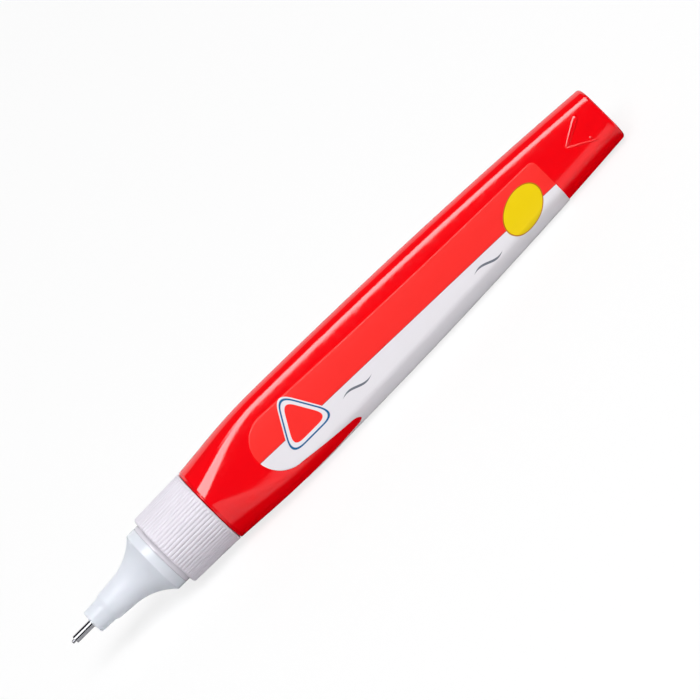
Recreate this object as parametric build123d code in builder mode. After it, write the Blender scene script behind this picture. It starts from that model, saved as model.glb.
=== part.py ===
from build123d import *

import math
import os

# A correction pen: a squeeze bottle with a screwed collar, which holds a nose with a sprung needle valve.
# Millimetres. The pen's axis is X, with the tip towards -X, and +Z is up. The pen lies on one of the three
# flats of its barrel. The origin is on the axis, at the rear end of the nose's shoulder, which a cap grips.

# Squeeze barrel: a round front that turns into a rounded triangle, which narrows towards the rear
barrel_length = 100.0
barrel_front_radius = 8.1
corner_radius = 3.25
corner_offset = 6.87  # from the axis to a corner's centre, where the barrel is widest
corner_offset_rear = 3.12
barrel_wall = 1.1
shoulder_wall = 1.4
rear_wall = 1.5
rear_edge_radius = 0.65
front_edge_chamfer = 0.2
neck_radius = 6.2
neck_bore_radius = 5.0
corner_turns = (90, 210, 330)  # degrees about the axis, the first corner being the top ridge
flat_turn = 60.0  # degrees from a corner to the middle of a flat
face_turn = 6.0  # degrees from the middle of a flat to the start of its corner
crease_turn = 0.05  # degrees of crease where they meet, which keeps each arc's face to itself
morph_share = 0.19  # of the barrel's length, in which the circle becomes a triangle
morph_power = 1.2
taper_power = 2.3
morph_steps = 12
taper_steps = 6
rounding_turns = (45, 90)  # degrees of the rear edge's rounding that get a section

# Label: a film on the front flat that wraps over the lower corner, with a lobe on either side of a notch
label_thickness = 0.15
label_start = 11.9  # behind the barrel's front
label_length = 72.8
label_lobe_radius = 5.6
label_lobe_drop = 1.0  # of the lobe's centre, below the middle of the flat
label_rear_height = 2.55  # of the upper edge at the rear, above the middle of the flat
label_edge_sag = 0.35
label_corner_radius = 1.2
notch_length = 18.7
notch_half_width = 1.25
notch_round_length = 2.2

# Collar: a ribbed screw ring whose lip holds the nose
collar_length = 11.5
collar_front_radius = 7.82
collar_rear_radius = 8.05
collar_bore_radius = 6.9
collar_lip_thickness = 0.9
collar_band_length = 0.95
collar_edge_chamfer = 0.4
collar_rim_length = 0.45
band_edge_chamfer = 0.1
groove_depth = 0.2
rib_count = 66

# Nose: ferrule, step, sleeve, concave flare and shoulder, with a plug that enters the barrel's neck
nose_length = 17.15  # up to the shoulder's rear end
nose_front_radius = 2.42
ferrule_length = 3.4
ferrule_rear_radius = 2.52
step_length = 0.9
sleeve_front_radius = 2.92
sleeve_length = 3.8
sleeve_rear_radius = 3.2
shoulder_length = 1.83
cap_seat_radius = 6.7  # of the nose's shoulder and the collar's band
nose_edge_chamfer = 0.25
shoulder_edge_chamfer = 0.25
boss_length = 0.18
boss_radius = 0.93
spigot_radius = 5.65
flange_radius = 6.0
flange_thickness = 1.0
plug_length = 5.0
plug_bore_radius = 3.7
seat_setback = 0.5  # of the valve seat, behind the front of the sleeve
chamber_radius = 1.75
funnel_length = 4.0

# Needle valve: tube, pin, plunger, spring and retainer, from the front
tube_radius = 0.74
tube_bore_radius = 0.45
tube_exposed = 4.4
tube_edge_chamfer = 0.1
pin_radius = 0.31
pin_exposed = 0.72
pin_edge_chamfer = 0.13
pin_grip_length = 2.2
plunger_clearance = 0.25
plunger_head_length = 1.4
plunger_stem_radius = 0.75
valve_travel = 0.6
spring_space = 4.0  # from the plunger's head to the retainer
spring_wire_radius = 0.15
spring_wire_sides = 6
spring_turns = 4
retainer_thickness = 1.0
retainer_post_length = 1.3
flow_hole_radius = 0.3
flow_hole_count = 3

# Loose and soft pieces
gasket_thickness = 0.8
gasket_radius = 6.1
ball_radius = 2.0

# Fits
seam_gap = 0.15  # between the collar's rim and the barrel's shoulder
parting_gap = 0.1  # between the nose's shoulder and the collar's band
turning_clearance = 0.1
sliding_clearance = 0.05
press_clearance = 0.01
ball_clearance = 0.3
stop_clearance = 0.05
overrun = 1.0

# Places along the axis that follow from the sizes
collar_front = parting_gap + collar_band_length
collar_rear = collar_front + collar_length
barrel_front = collar_rear + seam_gap
barrel_rear = barrel_front + barrel_length
flange_front = collar_front + collar_lip_thickness
flange_rear = flange_front + flange_thickness
plug_rear = flange_rear + plug_length
neck_front = flange_rear + gasket_thickness
nose_front = -nose_length
tube_front = nose_front - tube_exposed
pin_front = tube_front - pin_exposed
sleeve_rear = nose_front + ferrule_length + step_length + sleeve_length
valve_seat = sleeve_rear - sleeve_length + seat_setback
plunger_head_rear = valve_seat + plunger_head_length
retainer_front = plunger_head_rear + spring_space
chamber_rear = retainer_front + retainer_thickness
plug_radius = neck_bore_radius - sliding_clearance

os.makedirs("parts", exist_ok=True)


def corner_at(share):
    """Distance of the corner centres from the axis and their radius, at a share of the barrel's length."""
    blend = math.sin(math.pi / 2 * min(share / morph_share, 1)) ** morph_power
    offset = corner_offset_rear + (corner_offset - corner_offset_rear) * (1 - share**taper_power)
    radius = barrel_front_radius + (corner_radius - barrel_front_radius) * blend
    return blend * offset, radius


def polar(distance, degrees):
    """A point of a cross-section, at a distance from its middle and an angle."""
    return Vector(distance, 0).rotate(Axis.Z, degrees)


def flat_height(share, growth):
    """Distance of a flat's middle from the axis. The flat is a shallow arc between two corners' ends."""
    offset, radius = corner_at(share)
    half_chord = polar(offset, flat_turn).Y + polar(radius + growth, face_turn).Y
    chord_height = polar(offset, flat_turn).X + polar(radius + growth, face_turn).X
    return chord_height + half_chord * math.tan(math.radians(face_turn - crease_turn) / 2)


def around(degrees):
    """The direction that points away from the pen's axis at an angle about it."""
    return Vector(0, 1, 0).rotate(Axis.X, degrees)


def barrel_section(share, growth):
    """One cross-section of the barrel, three corner arcs and three flats, grown outwards by a distance."""
    offset, radius = corner_at(share)
    half_corner = flat_turn - face_turn
    with BuildSketch(Plane.YZ.offset(barrel_front + share * barrel_length)) as section:
        with BuildLine():
            for turn in corner_turns:
                centre = polar(offset, turn)
                start = centre + polar(radius + growth, turn - half_corner)
                end = centre + polar(radius + growth, turn + half_corner)
                next_turn = turn + 2 * flat_turn
                next_start = polar(offset, next_turn) + polar(radius + growth, next_turn - half_corner)
                ThreePointArc(start, polar(offset + radius + growth, turn), end)
                ThreePointArc(end, polar(flat_height(share, growth), turn + flat_turn), next_start)
        make_face()
    return section.sketch


def even_shares(first_share, last_share, steps):
    """Evenly spaced shares of the barrel's length, both ends included."""
    return [first_share + step * (last_share - first_share) / steps for step in range(steps + 1)]


def barrel_sections(growth, first_share, last_share):
    """Sections of the front, where the circle becomes a triangle, and of the taper behind it."""
    morph_shares = even_shares(first_share, morph_share, morph_steps)
    taper_shares = even_shares(morph_share, last_share, taper_steps)
    return [barrel_section(share, growth) for share in morph_shares + taper_shares[1:]]


def rounded_sections(growth):
    """The sections of the rear edge's rounding, which draw in on a quarter circle."""
    inset = [polar(rear_edge_radius, turn) for turn in rounding_turns]
    return [
        barrel_section(1 + (point.Y - rear_edge_radius) / barrel_length, growth + point.X - rear_edge_radius)
        for point in inset
    ]


def corner_of(sketch, point):
    """The corner of a sketch that lies at a point of its plane."""
    return sketch.vertices().sort_by_distance(point)[0]


# Outer form of the barrel, which the barrel and its label share
rounding_share = 1 - rear_edge_radius / barrel_length
with BuildPart() as outer_form:
    loft(barrel_sections(0, 0, rounding_share) + rounded_sections(0), ruled=True)

# Squeeze barrel with its neck, hollow and closed at the rear
cavity_front = barrel_front + shoulder_wall
cavity_front_share = shoulder_wall / barrel_length
cavity_rear_share = 1 - rear_wall / barrel_length
with BuildPart() as squeeze_barrel:
    add(outer_form.part)
    chamfer(squeeze_barrel.faces().sort_by(Axis.X)[0].edges(), front_edge_chamfer)
    with BuildSketch(Plane.YZ.offset(neck_front)):
        Circle(neck_radius)
    extrude(amount=cavity_front - neck_front)
    loft(barrel_sections(-barrel_wall, cavity_front_share, cavity_rear_share), ruled=True, mode=Mode.SUBTRACT)
    with BuildSketch(Plane.YZ.offset(neck_front)):
        Circle(neck_bore_radius)
    extrude(amount=cavity_front - neck_front + overrun, mode=Mode.SUBTRACT)
squeeze_barrel.part.label = "squeeze_barrel"
export_step(squeeze_barrel.part, "parts/squeeze_barrel.step")

# Wrap label: half of it is cut on the front flat, and the lower corner mirrors it onto the flat below
label_front = barrel_front + label_start
label_rear = label_front + label_length
lobe_x = label_front + label_lobe_radius
lobe_top = Vector(lobe_x, label_lobe_radius - label_lobe_drop)
lobe_tip = Vector(label_front, -label_lobe_drop)
lobe_bottom = Vector(lobe_x, -label_lobe_radius - label_lobe_drop)
rear_top = Vector(label_rear, label_rear_height)
edge_middle = (lobe_top + rear_top) / 2 - Vector(0, label_edge_sag)
notch_x = label_front + notch_length
notch_ridge_radius = sum(corner_at((notch_x - barrel_front) / barrel_length))
notch_tip = Vector(notch_x, -polar(notch_ridge_radius, flat_turn).Y)
notch_shoulder = notch_tip + Vector(-notch_round_length, notch_half_width)
ridge_radius = corner_offset + corner_radius
front_flat = Plane(origin=(0, 0, 0), x_dir=(1, 0, 0), z_dir=around(corner_turns[0] + flat_turn))
lower_corner = Plane(origin=(0, 0, 0), x_dir=(1, 0, 0), z_dir=around(corner_turns[1] - 90))
with BuildPart() as wrap_label:
    loft(barrel_sections(label_thickness, 0, rounding_share), ruled=True)
    with BuildSketch(front_flat) as die_cut:
        with BuildLine():
            ThreePointArc(lobe_top, lobe_tip, lobe_bottom)
            Line(lobe_bottom, notch_shoulder)
            TangentArc(notch_shoulder, notch_tip, tangent=notch_shoulder - lobe_bottom)
            Polyline(notch_tip, (notch_x, -ridge_radius), (label_rear, -ridge_radius), rear_top)
            ThreePointArc(rear_top, edge_middle, lobe_top)
        make_face()
        fillet(corner_of(die_cut, rear_top), label_corner_radius)
    extrude(amount=ridge_radius, mode=Mode.INTERSECT)
    add(outer_form.part, mode=Mode.SUBTRACT)
    split(bisect_by=lower_corner, keep=Keep.TOP)
    mirror(about=lower_corner)
wrap_label.part.label = "wrap_label"
export_step(wrap_label.part, "parts/wrap_label.step")

# Ribbed collar: a fluted, tapered ring between a smooth band and a plain rim, with a lip that holds the nose
lip_bore_radius = spigot_radius + turning_clearance
rim_front = collar_rear - collar_rim_length


def rib_section(x, radius):
    """One cross-section of the collar's ribs, each with a flat top and a V-shaped groove beside it."""
    rib_turn = 360 / rib_count
    half_groove = math.degrees(groove_depth / radius)
    outline = []
    for rib in range(rib_count):
        outline.append(polar(radius - groove_depth, rib * rib_turn))
        outline.append(polar(radius, rib * rib_turn + half_groove))
        outline.append(polar(radius, (rib + 1) * rib_turn - half_groove))
    with BuildSketch(Plane.YZ.offset(x)) as section:
        with BuildLine():
            Polyline(outline, close=True)
        make_face()
    return section.sketch


with BuildPart() as ribbed_collar:
    loft(
        [
            rib_section(collar_front, collar_front_radius - collar_edge_chamfer),
            rib_section(collar_front + collar_edge_chamfer, collar_front_radius),
            rib_section(rim_front, collar_rear_radius),
        ],
        ruled=True,
    )
    with BuildSketch(Plane.YZ.offset(rim_front)):
        Circle(collar_rear_radius)
    extrude(amount=collar_rim_length)
    with BuildSketch(Plane.YZ.offset(collar_front)):
        Circle(cap_seat_radius)
    extrude(amount=parting_gap - collar_front)
    chamfer(ribbed_collar.faces().sort_by(Axis.X)[0].edges(), band_edge_chamfer)
    with BuildSketch(Plane.YZ.offset(parting_gap)):
        Circle(lip_bore_radius)
    extrude(amount=collar_rear - parting_gap, mode=Mode.SUBTRACT)
    with BuildSketch(Plane.YZ.offset(flange_front)):
        Circle(collar_bore_radius)
    extrude(amount=collar_rear - flange_front, mode=Mode.SUBTRACT)
ribbed_collar.part.label = "ribbed_collar"
export_step(ribbed_collar.part, "parts/ribbed_collar.step")

# Nose cone, from the boss round the tube to the plug in the neck, and back through its stepped bore
tube_socket_radius = tube_radius + press_clearance
step_rear = nose_front + ferrule_length + step_length
sleeve_front = Vector(step_rear, sleeve_front_radius)
sleeve_end = Vector(sleeve_rear, sleeve_rear_radius)
nose_edge = Vector(nose_front, nose_front_radius)
shoulder_edge = Vector(-shoulder_length, cap_seat_radius)
with BuildPart() as nozzle_cone:
    with BuildSketch(Plane.XZ) as nose_profile:
        with BuildLine():
            Polyline(
                (nose_front - boss_length, tube_socket_radius),
                (nose_front - boss_length, boss_radius),
                (nose_front, boss_radius),
                nose_edge,
                (nose_front + ferrule_length, ferrule_rear_radius),
                sleeve_front,
                sleeve_end,
            )
            TangentArc(sleeve_end, shoulder_edge, tangent=sleeve_end - sleeve_front)
            Polyline(
                shoulder_edge,
                (0, cap_seat_radius),
                (0, spigot_radius),
                (flange_front, spigot_radius),
                (flange_front, flange_radius),
                (flange_rear, flange_radius),
                (flange_rear, plug_radius),
                (plug_rear, plug_radius),
                (plug_rear, plug_bore_radius),
                (chamber_rear + funnel_length, plug_bore_radius),
                (chamber_rear, chamber_radius),
                (valve_seat, chamber_radius),
                (valve_seat, tube_socket_radius),
                (nose_front - boss_length, tube_socket_radius),
            )
        make_face()
        chamfer(corner_of(nose_profile, nose_edge), nose_edge_chamfer)
        chamfer(corner_of(nose_profile, shoulder_edge), shoulder_edge_chamfer)
    revolve(axis=Axis.X)
nozzle_cone.part.label = "nozzle_cone"
export_step(nozzle_cone.part, "parts/nozzle_cone.step")

# Gasket between the nose's flange and the neck's rim
with BuildPart() as neck_gasket:
    with BuildSketch(Plane.YZ.offset(flange_rear)):
        Circle(gasket_radius)
        Circle(neck_bore_radius, mode=Mode.SUBTRACT)
    extrude(amount=gasket_thickness)
neck_gasket.part.label = "neck_gasket"
export_step(neck_gasket.part, "parts/neck_gasket.step")

# Metal tube, pressed into the nose up to the valve seat
with BuildPart() as tip_tube:
    with BuildSketch(Plane.YZ.offset(tube_front)):
        Circle(tube_radius)
        Circle(tube_bore_radius, mode=Mode.SUBTRACT)
    extrude(amount=valve_seat - tube_front)
    chamfer(tip_tube.faces().sort_by(Axis.X)[0].outer_wire().edges(), tube_edge_chamfer)
tip_tube.part.label = "tip_tube"
export_step(tip_tube.part, "parts/tip_tube.step")

# Valve pin with a bevelled end
with BuildPart() as valve_pin:
    with BuildSketch(Plane.YZ.offset(pin_front)):
        Circle(pin_radius)
    extrude(amount=valve_seat + pin_grip_length - pin_front)
    chamfer(valve_pin.faces().sort_by(Axis.X)[0].edges(), pin_edge_chamfer)
valve_pin.part.label = "valve_pin"
export_step(valve_pin.part, "parts/valve_pin.step")

# Valve plunger: its head shuts the tube, and its stem guides the spring and stops on the retainer's post
stem_length = spring_space - retainer_post_length - valve_travel - stop_clearance
with BuildPart() as valve_plunger:
    with BuildSketch(Plane.YZ.offset(valve_seat)):
        Circle(chamber_radius - plunger_clearance)
    extrude(amount=plunger_head_length)
    with BuildSketch(Plane.YZ.offset(plunger_head_rear)):
        Circle(plunger_stem_radius)
    extrude(amount=stem_length)
    with BuildSketch(Plane.YZ.offset(valve_seat)):
        Circle(pin_radius + press_clearance)
    extrude(amount=pin_grip_length, mode=Mode.SUBTRACT)
valve_plunger.part.label = "valve_plunger"
export_step(valve_plunger.part, "parts/valve_plunger.step")

# Valve spring: one wire, wound as a helix whose quarter turns are pairs of tangent arcs
spring_radius = (plunger_stem_radius + chamber_radius) / 2
spring_front = plunger_head_rear + spring_wire_radius + stop_clearance
spring_rear = retainer_front - spring_wire_radius - stop_clearance
spring_pitch = (spring_rear - spring_front) / spring_turns


def coil_point(turn):
    """A point of the spring's centre line."""
    return Vector(spring_front + turn * spring_pitch, spring_radius, 0).rotate(Axis.X, 360 * turn)


def coil_direction(turn):
    """The direction of the spring's wire at that point."""
    return Vector(spring_pitch, 0, 2 * math.pi * spring_radius).rotate(Axis.X, 360 * turn).normalized()


def coil_arcs(turn, next_turn):
    """Two arcs that leave and reach the helix along its wire, and meet halfway between their tangents."""
    start, end = coil_point(turn), coil_point(next_turn)
    leave, reach = coil_direction(turn), coil_direction(next_turn)
    chord, both = end - start, leave + reach
    slack = 4 - both.dot(both)
    along = chord.dot(both)
    reach_length = (math.sqrt(along**2 + slack * chord.dot(chord)) - along) / slack
    first, last = start + leave * reach_length, end - reach * reach_length
    middle = (first + last) / 2
    TangentArc(start, middle, tangent=leave)
    TangentArc(middle, end, tangent=last - first)


with BuildPart() as valve_spring:
    with BuildLine() as coil:
        for quarter in range(round(4 * spring_turns)):
            coil_arcs(quarter / 4, (quarter + 1) / 4)
    with BuildSketch(Plane(origin=coil_point(0), z_dir=coil_direction(0))):
        RegularPolygon(spring_wire_radius, spring_wire_sides)
    sweep(path=coil.wire())
valve_spring.part.label = "valve_spring"
export_step(valve_spring.part, "parts/valve_spring.step")

turn_steps = 24
coil_points = [coil_point(step / turn_steps) for step in range(round(turn_steps * spring_turns) + 1)]
coil_gaps = [
    (later - earlier).length - 2 * spring_wire_radius
    for step, earlier in enumerate(coil_points)
    for later in coil_points[step + turn_steps // 2 :]
]
print("valve spring: least gap between turns", round(min(coil_gaps), 3), "mm")

# Spring retainer: a pressed plug with a guide post and flow holes
with BuildPart() as spring_retainer:
    with BuildSketch(Plane.YZ.offset(retainer_front)):
        Circle(chamber_radius - press_clearance)
        with PolarLocations(spring_radius, flow_hole_count):
            Circle(flow_hole_radius, mode=Mode.SUBTRACT)
    extrude(amount=retainer_thickness)
    with BuildSketch(Plane.YZ.offset(retainer_front)):
        Circle(plunger_stem_radius)
    extrude(amount=-retainer_post_length)
spring_retainer.part.label = "spring_retainer"
export_step(spring_retainer.part, "parts/spring_retainer.step")

# Mixing ball, lying on the lower flat at the rear of the cavity
ball_x = barrel_rear - rear_wall - ball_radius - ball_clearance
ball_floor = flat_height((ball_x - barrel_front) / barrel_length, -barrel_wall)
with BuildPart(Plane.XY.offset(ball_radius + ball_clearance - ball_floor)) as mixing_ball:
    with Locations((ball_x, 0)):
        Sphere(ball_radius)
mixing_ball.part.label = "mixing_ball"
export_step(mixing_ball.part, "parts/mixing_ball.step")
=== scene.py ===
# %% [markdown]
# # A correction pen
# The pen is a red squeeze barrel with a label, a white ribbed collar, a white nose and a needle tip. The
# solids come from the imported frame. This lesson lays a finer skin over each piece that shows: a numpy
# array is worked out in millimetres from a formula, becomes a mesh, and gets a material made of nodes.

# %% Start: the frame and its box
from functools import partial

import bmesh
import bpy
import numpy as np
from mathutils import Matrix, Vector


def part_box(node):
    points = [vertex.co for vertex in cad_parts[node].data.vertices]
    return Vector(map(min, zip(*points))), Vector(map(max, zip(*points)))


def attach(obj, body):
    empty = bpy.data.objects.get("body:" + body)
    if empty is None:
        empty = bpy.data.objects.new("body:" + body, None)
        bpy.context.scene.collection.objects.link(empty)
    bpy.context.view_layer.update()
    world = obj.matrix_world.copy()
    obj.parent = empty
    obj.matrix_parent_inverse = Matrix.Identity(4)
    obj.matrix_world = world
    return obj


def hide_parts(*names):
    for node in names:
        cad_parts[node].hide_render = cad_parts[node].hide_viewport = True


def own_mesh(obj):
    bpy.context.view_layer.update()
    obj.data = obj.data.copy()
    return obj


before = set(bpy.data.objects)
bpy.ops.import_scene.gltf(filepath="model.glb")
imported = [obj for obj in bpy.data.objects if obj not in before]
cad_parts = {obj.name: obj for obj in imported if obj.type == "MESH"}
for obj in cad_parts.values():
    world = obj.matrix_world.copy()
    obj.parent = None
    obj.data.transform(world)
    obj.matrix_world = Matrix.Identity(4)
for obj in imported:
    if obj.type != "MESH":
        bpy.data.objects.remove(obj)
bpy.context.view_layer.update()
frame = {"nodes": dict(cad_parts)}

MM = 0.001  # metres in a millimetre


def span(node):
    """Front and rear end of a solid along the pen, in millimetres."""
    low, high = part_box(node)
    return low[0] / MM, high[0] / MM


print("solids:", sorted(frame["nodes"]))

# %% [markdown]
# ## Grids
# Every surface here is a grid: rows run along the pen, columns run round it. So a few helpers are enough.
# They give unit vectors round the axis, put places along the pen and round it together, number the
# corners of the grid's quads, and turn the arrays into a mesh. Where a row shrinks to a point or the last
# row meets the first, the doubled points are merged, which closes the shape.

# %% Grid helpers
MERGE_DISTANCE = 0.0005 * MM


def around(degrees):
    """Unit vectors (y, z) at angles about the pen's axis: cosine along Y, sine along Z."""
    angle = np.radians(degrees)
    return np.stack([np.cos(angle), np.sin(angle)], axis=-1)


def joined(x, ring):
    """Points (x, y, z) from places x along the pen, spread over the columns, and points (y, z) round it."""
    return np.concatenate([np.broadcast_to(x, ring.shape[:-1])[..., None], ring], axis=-1)


def grid_quads(rows, columns, wrap=True):
    """Corner numbers of a grid's quads: each joins a point to the next in its row and to the row after."""
    row = np.arange(rows - 1)[:, None] * columns
    column = np.arange(columns if wrap else columns - 1)[None, :]
    beside = (column + 1) % columns
    quads = [row + column, row + columns + column, row + columns + beside, row + beside]
    return np.stack(quads, axis=-1).reshape(-1, 4)


def make_piece(name, points, quads, closed=True, film=None):
    """A smooth mesh object from points in millimetres, with an optional UV map called film."""
    mesh = bpy.data.meshes.new(name)
    mesh.from_pydata((points.reshape(-1, 3) * MM).tolist(), [], quads.tolist())
    if film is not None:
        corner_vertices = np.zeros(len(mesh.loops), dtype=np.int32)
        mesh.loops.foreach_get("vertex_index", corner_vertices)
        mesh.uv_layers.new(name="film").data.foreach_set("uv", film[corner_vertices].ravel())
    shape = bmesh.new()
    shape.from_mesh(mesh)
    bmesh.ops.remove_doubles(shape, verts=shape.verts, dist=MERGE_DISTANCE)
    if closed:
        bmesh.ops.recalc_face_normals(shape, faces=shape.faces)
    open_edges = sum(not edge.is_manifold for edge in shape.edges)
    shape.to_mesh(mesh)
    shape.free()
    mesh.polygons.foreach_set("use_smooth", np.ones(len(mesh.polygons), dtype=bool))
    piece = bpy.data.objects.new(name, mesh)
    bpy.context.scene.collection.objects.link(piece)
    print(name, len(mesh.polygons), "faces,", open_edges, "open edges")
    return piece


def round_piece(name, points):
    """A closed piece from a grid whose columns run all the way round."""
    return make_piece(name, points, grid_quads(*points.shape[:2]))


def dress(piece, body, slot, *nodes):
    """Lets a piece ride on a body and stand for solids of the frame. The slot argument is not used."""
    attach(piece, body)
    if nodes:
        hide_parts(*nodes)


print("a grid of 3 rows and 4 columns has", len(grid_quads(3, 4)), "quads")

# %% [markdown]
# ## The barrel's cross-section
# The barrel is round where it leaves the collar and a blunt triangle further back. Two drawn curves with
# a blend between them could kink, so one formula covers both. A corner is an arc about a centre off the
# axis, a tight arc makes the crease beside it, and a flat is a wide arc between two creases, all on
# common tangents. With the centres on the axis and equal radii the arcs fall on one circle. The columns
# follow the angle of the surface's normal, so creases get many points and flats get few.

# %% Barrel section
NECK_FRONT, BARREL_REAR = span("squeeze_barrel")
BARREL_LENGTH = 100.0
BARREL_FRONT = BARREL_REAR - BARREL_LENGTH
FRONT_RADIUS = 8.1
CORNER_RADIUS, CREASE_RADIUS = 5.47, 1.6
CORNER_OFFSET, CORNER_OFFSET_REAR = 4.37, 0.62  # of the corner's centre from the axis
MORPH_SHARE, MORPH_POWER, TAPER_POWER = 0.19, 1.2, 2.3
CORNERS = np.array([90.0, 210.0, 330.0])
FLAT_TURN, FACE_TURN, CORNER_TURN = 60.0, 6.0, 18.0  # half of a side, of a flat's arc and of a corner's arc
CREASE_END = FLAT_TURN - FACE_TURN


def arcs_at(share, growth=0.0):
    """Corner offset, corner radius and crease radius at shares of the length.

    A sine blends them from the circle's to the triangle's, and a power of the share narrows the triangle.
    """
    blend = np.sin(np.pi / 2 * np.clip(share / MORPH_SHARE, 0, 1)) ** MORPH_POWER
    taper = 1 - np.clip(share, 0, None) ** TAPER_POWER
    offset = CORNER_OFFSET_REAR + (CORNER_OFFSET - CORNER_OFFSET_REAR) * taper
    sizes = (CORNER_RADIUS, CREASE_RADIUS)
    corner, crease = (FRONT_RADIUS + (size - FRONT_RADIUS) * blend for size in sizes)
    return blend * offset, corner + growth, crease + growth


def arcs_along(x):
    """The same at places along the pen."""
    return arcs_at((x - BARREL_FRONT) / BARREL_LENGTH)


def flat_arc(offset, corner, crease):
    """Radius and centre distance of a flat's arc.

    The radius is half the chord over the sine of half the turn. The centre lies below the chord by the
    radius times the cosine.
    """
    steps = [(offset, FLAT_TURN), (corner - crease, FLAT_TURN - CORNER_TURN), (crease, FACE_TURN)]
    height, half_chord = (sum(size * around(turn)[i] for size, turn in steps) for i in (0, 1))
    flat_radius = half_chord / around(FACE_TURN)[1]
    return flat_radius, height - flat_radius * around(FACE_TURN)[0]


def section(arcs, normal):
    """Points (y, z) of the section with normals at these angles: arc centre plus radius along each."""
    offset, corner, crease = arcs
    axis = CORNERS[0] + 2 * FLAT_TURN * np.round((normal - CORNERS[0]) / (2 * FLAT_TURN))
    turn, side = np.abs(normal - axis), np.sign(normal - axis)
    flat_radius, flat_centre = flat_arc(*arcs)
    corner_centre = offset[..., None] * around(axis)
    crease_centre = corner_centre + (corner - crease)[..., None] * around(axis + CORNER_TURN * side)
    face_centre = flat_centre[..., None] * around(axis + FLAT_TURN * side)
    pick = [turn <= CORNER_TURN, turn <= CREASE_END]
    radius = np.select(pick, [corner, crease], flat_radius)
    centre = np.select([part[..., None] for part in pick], [corner_centre, crease_centre], face_centre)
    return centre + radius[..., None] * around(normal)


widest = np.ptp(section(arcs_at(np.array(MORPH_SHARE)), np.arange(360.0))[:, 0])
print("barrel", round(float(widest), 2), "mm wide at the end of the morph")

# %% [markdown]
# ## The squeeze barrel
# The real barrel is one blow-moulded bottle. The two halves of the mould leave a fine raised line on it,
# in the crease beside the top ridge and once more on the opposite side. A loft between a few curves would
# do for the outside, but the bottle also has an inner wall, so one closed surface goes all the way: from
# the middle of the inner rear wall forwards through the cavity, out over the rim of the neck, and back
# along the skin to the middle of the rear face. Its columns come first, then its rows, then the skin.

# %% Barrel columns
CORNER_COLUMNS, CREASE_COLUMNS, FACE_COLUMNS = 17, 15, 13
SEAM_NORMAL, SEAM_SPREAD, SEAM_COLUMNS = 122.0, 12.0, 25
DIGITS = 6  # decimals at which doubled rows and columns are told apart

turns = np.concatenate([
    np.linspace(-CORNER_TURN, CORNER_TURN, CORNER_COLUMNS),
    np.linspace(CORNER_TURN, CREASE_END, CREASE_COLUMNS),
    -np.linspace(CORNER_TURN, CREASE_END, CREASE_COLUMNS),
    np.linspace(CREASE_END, FLAT_TURN + FACE_TURN, FACE_COLUMNS),
])
seams = SEAM_NORMAL + np.array([[0.0], [180.0]])
seam_normals = seams + np.linspace(-SEAM_SPREAD, SEAM_SPREAD, SEAM_COLUMNS)
normals = np.concatenate([(CORNERS[:, None] + turns).ravel(), seam_normals.ravel()]) % 360
normals = np.unique(normals.round(DIGITS))
print("barrel columns:", len(normals))

# %% Barrel rows
WALL, SHOULDER_WALL, REAR_WALL = 1.1, 1.4, 1.5
NECK_RADIUS, NECK_BORE = 6.2, 5.0
RIM_ROUNDING, FRONT_ROUNDING, REAR_ROUNDING = 0.2, 0.3, 0.65
REAR_INSET = REAR_ROUNDING / 8  # a row this far in keeps the rear face flat up to its rounding
CAVITY_ROWS, MORPH_ROWS, TAPER_ROWS, ROUNDING_ROWS = 60, 46, 60, 9
POLE = 1e-5  # radius of a row that shrinks to a point


def turned_rows(*places):
    """Rows of a round stretch: each place is (x, radius), with every arc about the axis."""
    x, radius = np.array(places).T
    return np.stack([x, np.zeros_like(x), radius, radius], axis=1)


def skin_rows(shares, growth):
    """Rows of the triangular stretch at shares of the length, grown outwards by a distance."""
    return np.stack([BARREL_FRONT + shares * BARREL_LENGTH, *arcs_at(shares, growth)], axis=1)


def quarter(count):
    """Cosines and sines of angles from 0 to 90 degrees, for a rounding."""
    return around(np.linspace(0, 90, count)).T


shrink, along = quarter(ROUNDING_ROWS)
front_share, rear_share = FRONT_ROUNDING / BARREL_LENGTH, 1 - REAR_ROUNDING / BARREL_LENGTH
cavity_shares = np.linspace(1 - REAR_WALL / BARREL_LENGTH, SHOULDER_WALL / BARREL_LENGTH, CAVITY_ROWS)
inner_pole, outer_pole = (turned_rows((x, POLE)) for x in (BARREL_REAR - REAR_WALL, BARREL_REAR))
cavity = skin_rows(cavity_shares, -WALL)
neck = turned_rows(
    (BARREL_FRONT + SHOULDER_WALL, NECK_BORE),
    *zip(NECK_FRONT + RIM_ROUNDING * (1 - along), NECK_BORE + RIM_ROUNDING * (1 - shrink)),
    *zip(NECK_FRONT + RIM_ROUNDING * (1 - shrink), NECK_RADIUS - RIM_ROUNDING * (1 - along)),
    (BARREL_FRONT - FRONT_ROUNDING, NECK_RADIUS),
    (BARREL_FRONT, NECK_RADIUS + FRONT_ROUNDING),
    *zip(BARREL_FRONT + FRONT_ROUNDING * (1 - shrink), FRONT_RADIUS - FRONT_ROUNDING * (1 - along)),
)
morph = skin_rows(np.linspace(front_share, MORPH_SHARE, MORPH_ROWS), 0)
taper = skin_rows(np.linspace(MORPH_SHARE, rear_share, TAPER_ROWS)[1:], 0)
rear_shares = rear_share + along[1:] * REAR_ROUNDING / BARREL_LENGTH
rear = skin_rows(rear_shares, (shrink[1:] - 1) * REAR_ROUNDING)
last_ring = rear[-1:] - np.array([0, 0, 1, 1]) * REAR_INSET
inner_rows = np.concatenate([inner_pole, cavity, neck])
rows = np.concatenate([inner_rows, morph, taper, rear, last_ring, outer_pole])
print("barrel rows:", len(rows), "of which", len(inner_rows), "before the skin")

# %% Barrel skin with its parting lines
SEAM_HEIGHT, SEAM_WIDTH, SEAM_RUN_IN = 0.02, 0.1, 12.0

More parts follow.
